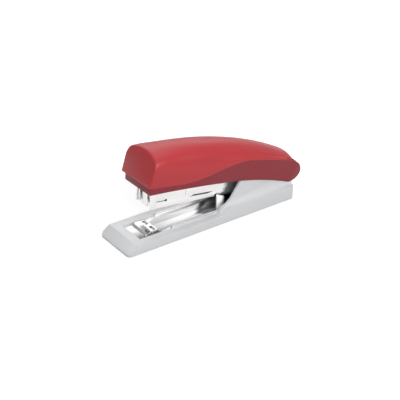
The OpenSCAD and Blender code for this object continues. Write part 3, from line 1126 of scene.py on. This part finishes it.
    def upper(self) -> bmesh.types.BMesh:
        """The upper shell, from its front face to the tail.

        Returns:
            The solid.
        """

        def ring(x: float) -> list[Point3]:
            """The closed section at x."""
            return self.mirrored(x, self.upper_half(x))

        steps = self.length_steps
        first = self.front + self.front_rim
        span = self.rear - self.rear_rim - self.front - self.front_rim
        rings = [
            self.shrunk(ring(self.front + dx), self.front + dx, inset)
            for dx, inset in self.front_rim_round
        ]
        rings += [ring(first + span * i / steps) for i in range(steps + 1)]
        rings.append(self.shrunk(ring(self.rear), self.rear, self.rear_rim))
        return loft([self.raked(r) for r in rings])

    def skirt_ring(self, x: float) -> list[Point3]:
        """The skirt's or the tail's closed section, with rounded corners.

        Args:
            x: where the section stands.

        Returns:
            The ring.
        """
        tail_x, tail_z = self.tail
        across = max(0.0, self.tail_radius**2 - (x - tail_x) ** 2) ** 0.5
        low, high = tail_z - across, tail_z + across
        if x < tail_x - self.tail_lead:
            low, high = self.edge(x), self.crease(x) + self.skirt_overlap
        round_low, round_high = (
            min(most, self.skirt_round_share * (high - low)) for most in self.skirt_rounds
        )
        seam = self.crease(min(x, tail_x))
        step_start, step_length = self.seam_step_span
        least, more = self.seam_step
        step = least + more * smooth((step_start - x) / step_length)

        def half(z: float) -> float:
            """Half width at a height."""
            return self.side(seam) - step - self.skirt_lean * (seam - z)

        turn = [(1 - math.sin(a), 1 - math.cos(a)) for a in map(math.radians, (90, 60, 30, 0))]
        top_y, foot_y = half(high - round_high), half(low + round_low)
        top = [(top_y - round_high * down, high - round_high * back) for back, down in turn]
        foot = [(foot_y - round_low * back, low + round_low * down) for back, down in turn]
        return self.mirrored(x, top + foot)

    def skirt(self) -> bmesh.types.BMesh:
        """The skirt and the round tail.

        Returns:
            The solid.
        """
        start = self.front + self.skirt_setback
        join = self.tail[0] - self.tail_lead
        span = join - self.tail_gap - start
        reach = self.tail_radius + self.tail_lead - self.tail_stop
        xs = [start + span * i / self.skirt_steps for i in range(self.skirt_steps + 1)]
        xs += [
            join + reach * math.sin(math.radians(90 * i / self.tail_steps))
            for i in range(self.tail_steps + 1)
        ]
        rings = [
            self.shrunk(self.skirt_ring(start + dx), start + dx, inset)
            for dx, inset in self.skirt_rim_round
        ]
        rings += [self.skirt_ring(x) for x in xs if x > start + self.skirt_rim]
        return loft(rings)

    def hollow(self) -> bmesh.types.BMesh:
        """The space inside, arched under the crown and round in the tail.

        Returns:
            The solid that cuts it.
        """
        inner = self.tail_radius - self.wall
        tail_x, tail_z = self.tail
        inner_front = self.front + self.skirt_setback + self.wall
        arch_end, change, tail_start, tail_length, back = 0.9, 1.0, 1.05, 6.3, 12.0

        def ring(x: float) -> list[Point3]:
            """The closed section at x.

            Args:
                x: where the section stands.

            Returns:
                The ring.
            """
            bend = tail_z + max(0.0, inner**2 - (x - tail_x) ** 2) ** 0.5
            half = []
            for i in range(self.hollow_steps + 1):
                y = self.hollow_half * i / self.hollow_steps
                arch = self.crown(x) - self.wall - self.fall(x, y)
                half.append((y, max(bend, self.tail_room) if x > change else arch))
            return self.mirrored(x, half + [(self.hollow_half, self.hollow_foot)])

        xs = [
            inner_front + (arch_end - inner_front) * i / self.arch_steps
            for i in range(self.arch_steps + 1)
        ]
        xs += [
            tail_start + tail_length * i / self.hollow_steps for i in range(self.hollow_steps + 1)
        ]
        xs.append(back)
        return loft([ring(x) for x in xs])

    def bosses(self) -> bmesh.types.BMesh:
        """The bosses that take the frame's screws.

        Returns:
            The solids.
        """
        bm = bmesh.new()
        for x in self.boss_xs:
            top = self.crown(x) - self.wall / 2
            bmesh.ops.create_cone(
                bm,
                cap_ends=True,
                segments=self.boss_sides,
                radius1=self.boss_radius,
                radius2=self.boss_radius,
                depth=top - self.boss_foot,
                matrix=Matrix.Translation((x, 0, (top + self.boss_foot) / 2)),
            )
        return bm

    def build(self) -> None:
        """Makes the cap."""
        cap = from_bmesh("cap", self.upper())
        cap.data.materials.append(MATERIALS["cap_plastic"])
        skirt = from_bmesh("skirt_solid", self.skirt())
        # The skirt gets the darker red, a painted shade, and keeps it through the join.
        skirt.data.materials.append(CAP_SKIRT_PAINTED_SHADE.material())
        combine(cap, skirt, Solid.JOIN)
        combine(cap, from_bmesh("hollow_solid", self.hollow()), Solid.CUT)
        combine(cap, from_bmesh("boss_solids", self.bosses()), Solid.JOIN)
        cap.data.transform(PIVOT.matrix(PIVOT.handle_tilt))
        shade(cap.data, self.sharp)
        dress(cap, "cap_plastic", Body.HANDLE, ["cap_shell"])


# ---- Base --------------------------------------------------------------------------------


@dataclass
class Base:
    """The plastic base, its steel plate, the anvil and the return spring."""

    shell_round: float = 0.6
    plate_round: float = 0.16
    anvil_round: float = 0.14
    leaf_round: float = 0.08
    pad_top: float = 0.7
    spring_keep: float = 0.18

    def build(self) -> None:
        """Makes the base's pieces."""

        def outer(middle: Vector) -> bool:
            """True on the outside edges of the shell, above the pad."""
            return middle.z > self.pad_top

        shell = softened("base_shell", self.shell_round, keep=outer, segments=3)
        dress(shell, "base_plastic", Body.BASE, ["base_shell"])
        plate = softened("base_plate", self.plate_round)
        dress(plate, "plate_steel", Body.BASE, ["base_plate"])
        anvil = softened("anvil", self.anvil_round)
        dress(anvil, "nickel", Body.BASE, ["anvil"])
        leaf = softened("return_spring", self.leaf_round)
        dress(leaf, "spring_steel", Body.BASE, ["return_spring"])
        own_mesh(leaf)


# ---- Magazine ----------------------------------------------------------------------------


@dataclass
class Magazine:
    """The steel magazine that holds the staples, in its own frame, with what rides in it."""

    edge_round: float = 0.18
    rail_round: float = 0.12
    follower_round: float = 0.3
    coil_ends: Point2 = (-79.9, -20.1)
    coil_height: float = -6.1
    coil_radius: float = 1.55
    coil_wire: float = 0.5
    coil_turns: int = 14
    coil_keep: float = 0.12

    def build(self) -> None:
        """Makes the magazine's pieces."""
        body = softened("magazine_body", self.edge_round)
        dress(body, "nickel", Body.MAGAZINE, ["magazine_body"])
        rail = softened("staple_rail", self.rail_round)
        dress(rail, "plate_steel", Body.MAGAZINE, ["staple_rail"])
        bridge = softened("spring_bridge", self.rail_round)
        dress(bridge, "plate_steel", Body.MAGAZINE, ["spring_bridge"])
        pusher = softened("follower", self.follower_round)
        dress(pusher, "follower_plastic", Body.PUSHER, ["follower"])
        self.coil()

    def coil(self) -> None:
        """Makes the long spring on its rod."""
        front, rear = self.coil_ends
        path = [
            (x, self.coil_radius * math.cos(a), self.coil_height + self.coil_radius * math.sin(a))
            for x, a in helix(front, rear, self.coil_turns)
        ]
        place = PIVOT.matrix(PIVOT.magazine_tilt)
        spring = wire("follower_coil", path, self.coil_wire / 2, place)
        dress(spring, "spring_steel", Body.MAGAZINE, ["follower_spring"])
        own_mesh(spring)


# ---- Handle ------------------------------------------------------------------------------


@dataclass
class Handle:
    """The steel frame under the cap, its driver blade and the spring that lifts it."""

    frame_round: float = 0.15
    coil_radius: float = 4.0
    coil_half: float = 2.4
    coil_wire: float = 0.78
    coil_turns: int = 5
    low_tip: Point2 = (-16.0, -7.15)
    high_tip: Point2 = (-30.0, 7.5)

    def build(self) -> None:
        """Makes the handle's pieces."""
        steel = softened("handle_frame", self.frame_round)
        dress(steel, "frame_steel", Body.HANDLE, ["handle_frame"])
        self.spring()

    def spring(self) -> None:
        """Makes the torsion spring, with one leg on the magazine and one under the frame."""
        turn = math.radians(PIVOT.handle_tilt - PIVOT.magazine_tilt)
        cos, sin = math.cos(turn), math.sin(turn)
        r = self.coil_radius

        def raised(x: float, z: float) -> Point2:
            """A point of the handle's frame in the magazine's frame."""
            return (x * cos + z * sin, z * cos - x * sin)

        high = raised(*self.high_tip)
        top = raised(0.0, r)
        path = [(self.low_tip[0], -self.coil_half, self.low_tip[1])]
        path += [
            (-r * math.sin(a), y, -r * math.cos(a))
            for y, a in helix(-self.coil_half, self.coil_half, self.coil_turns, math.pi + turn)
        ]
        path += [(top[0], self.coil_half, top[1]), (high[0], self.coil_half, high[1])]
        place = PIVOT.matrix(PIVOT.magazine_tilt)
        spring = wire("handle_coil", path, self.coil_wire / 2, place)
        dress(spring, "spring_steel", None, ["handle_spring"])
        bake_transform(spring)


# ---- Studio ------------------------------------------------------------------------------


@dataclass(frozen=True)
class Softbox:
    """A rectangular light that faces the stapler, in metres and watts."""

    name: str
    place: Point3
    size: Point2
    power: float
    aim: Point3 = (0.0, 0.0, 0.02)

    def build(self) -> None:
        """Adds the light."""
        light = bpy.data.lights.new(self.name, "AREA")
        light.shape = "RECTANGLE"
        light.size, light.size_y = self.size
        light.energy = self.power
        lamp = bpy.data.objects.new(self.name, light)
        bpy.context.scene.collection.objects.link(lamp)
        lamp.location = self.place
        lamp.rotation_mode = "QUATERNION"
        towards = Vector(self.aim) - Vector(self.place)
        lamp.rotation_quaternion = towards.to_track_quat("-Z", "Y")


@dataclass
class Studio:
    """Pale floor, soft light and the camera."""

    # The camera: target and distance in millimetres, angles in degrees, clip in metres.
    target: Point3 = (-0.97, 0.0, 11.44)
    azimuth: float = -36.227
    elevation: float = 28.257
    roll: float = 0.162
    distance: float = 507.9
    lens: float = 76.5
    sensor: float = 36.0
    clip: Point2 = (0.01, 100.0)
    # The sky: (height, brightness), with height 0 straight down and 1 straight up.
    sky: float = 0.52
    sky_levels: Sequence[Point2] = ((0.0, 0.05), (0.497, 0.1), (0.503, 0.7), (0.75, 1.0))
    # The floor and the lights, in metres.
    floor_half: float = 40.0
    floor_drop: float = 0.0001
    floor_glow: float = 0.3
    softboxes: Sequence[Softbox] = (
        Softbox("overhead", (0.1, 0.15, 0.9), (0.9, 0.6), 1.2),
        Softbox("side", (0.0, -0.86, 0.58), (1.0, 0.35), 8.0),
        Softbox("rear", (0.5, 0.75, 0.5), (0.9, 0.5), 1.7),
        Softbox("front", (-0.9, -0.25, 0.4), (0.4, 0.6), 1.6),
    )

    def camera(self) -> None:
        """Places the camera."""
        a, e = math.radians(self.azimuth), math.radians(self.elevation)
        back = Vector((math.sin(a) * math.cos(e), -math.cos(a) * math.cos(e), math.sin(e)))
        camera = bpy.data.objects.new("camera", bpy.data.cameras.new("camera"))
        bpy.context.scene.collection.objects.link(camera)
        camera.data.lens = self.lens
        camera.data.sensor_width = self.sensor
        camera.data.clip_start, camera.data.clip_end = self.clip
        camera.location = (Vector(self.target) + back * self.distance) * MM
        camera.rotation_mode = "QUATERNION"
        turn = Quaternion((0, 0, 1), math.radians(self.roll))
        camera.rotation_quaternion = (-back).to_track_quat("-Z", "Y") @ turn
        bpy.context.scene.camera = camera

    def floor(self) -> None:
        """Lays the floor, which shows in steel but throws no light on plastic."""
        bm = bmesh.new()
        bmesh.ops.create_grid(bm, x_segments=2, y_segments=2, size=self.floor_half)
        floor = from_bmesh("floor", bm)
        floor.data.transform(Matrix.Translation((0, 0, -self.floor_drop)))
        paper = Shader("paper")
        paper.set(
            Base_Color=(0.95, 0.95, 0.95, 1),
            Roughness=0.9,
            Specular_IOR_Level=0.1,
            Emission_Color=(1, 1, 1, 1),
            Emission_Strength=self.floor_glow,
        )
        floor.data.materials.append(paper.material)
        floor.visible_diffuse = False

    def light_sky(self) -> None:
        """Lights the sky, brighter the higher it is."""
        world = bpy.data.worlds.new("studio")
        bpy.context.scene.world = world
        world.use_nodes = True
        nodes, links = world.node_tree.nodes, world.node_tree.links
        background = nodes["Background"]
        background.inputs["Strength"].default_value = self.sky
        split = nodes.new("ShaderNodeSeparateXYZ")
        ramp = nodes.new("ShaderNodeValToRGB")
        links.new(nodes.new("ShaderNodeTexCoord").outputs["Generated"], split.inputs[0])
        # A direction's height runs from -1 to 1, and the ramp from 0 to 1.
        lift = nodes.new("ShaderNodeMath")
        lift.operation = "MULTIPLY_ADD"
        lift.inputs[1].default_value = lift.inputs[2].default_value = 0.5
        links.new(split.outputs["Z"], lift.inputs[0])
        links.new(lift.outputs[0], ramp.inputs["Fac"])
        links.new(ramp.outputs["Color"], background.inputs["Color"])
        stops = ramp.color_ramp.elements
        while len(stops) < len(self.sky_levels):
            stops.new(0.5)
        for stop, (height, level) in zip(stops, self.sky_levels):
            stop.position, stop.color = height, (level, level, level, 1)

    def build(self) -> None:
        """Makes the floor, the sky, the lights and the camera."""
        self.floor()
        self.light_sky()
        for softbox in self.softboxes:
            softbox.build()
        bpy.context.scene.view_settings.view_transform = "Standard"
        self.camera()


def dress_frame() -> None:
    """Gives each CAD node the finish of its slot in the record."""
    slots = {s["node"]: s["material_slot"] for s in frame["record"]["subparts"]}
    for node, obj in frame["nodes"].items():
        obj.data.materials.clear()
        obj.data.materials.append(MATERIALS[slots[node]])


def main() -> None:
    """Builds the stapler's looks and the studio round it."""
    logging.basicConfig(level=logging.INFO, format="%(name)s: %(message)s")
    dress_frame()
    up, across, tilt = (0, 0, 1), (0, 1, 0), PIVOT.magazine_tilt
    fasteners = (
        Rivets("return_spring_rivets", Body.BASE, axis=up, tilt=0.0, head=1.5, dome=0.3),
        Rivets("bridge_rivets", Body.MAGAZINE, axis=across, tilt=tilt, head=1.2, dome=0.25),
        Rivets("rail_rivets", Body.MAGAZINE, axis=up, tilt=tilt, head=1.3, dome=0.25),
    )
    for part in (Studio(), Base(), Magazine(), Handle(), Cap(), *fasteners):
        part.build()


if __name__ == "__main__":
    main()
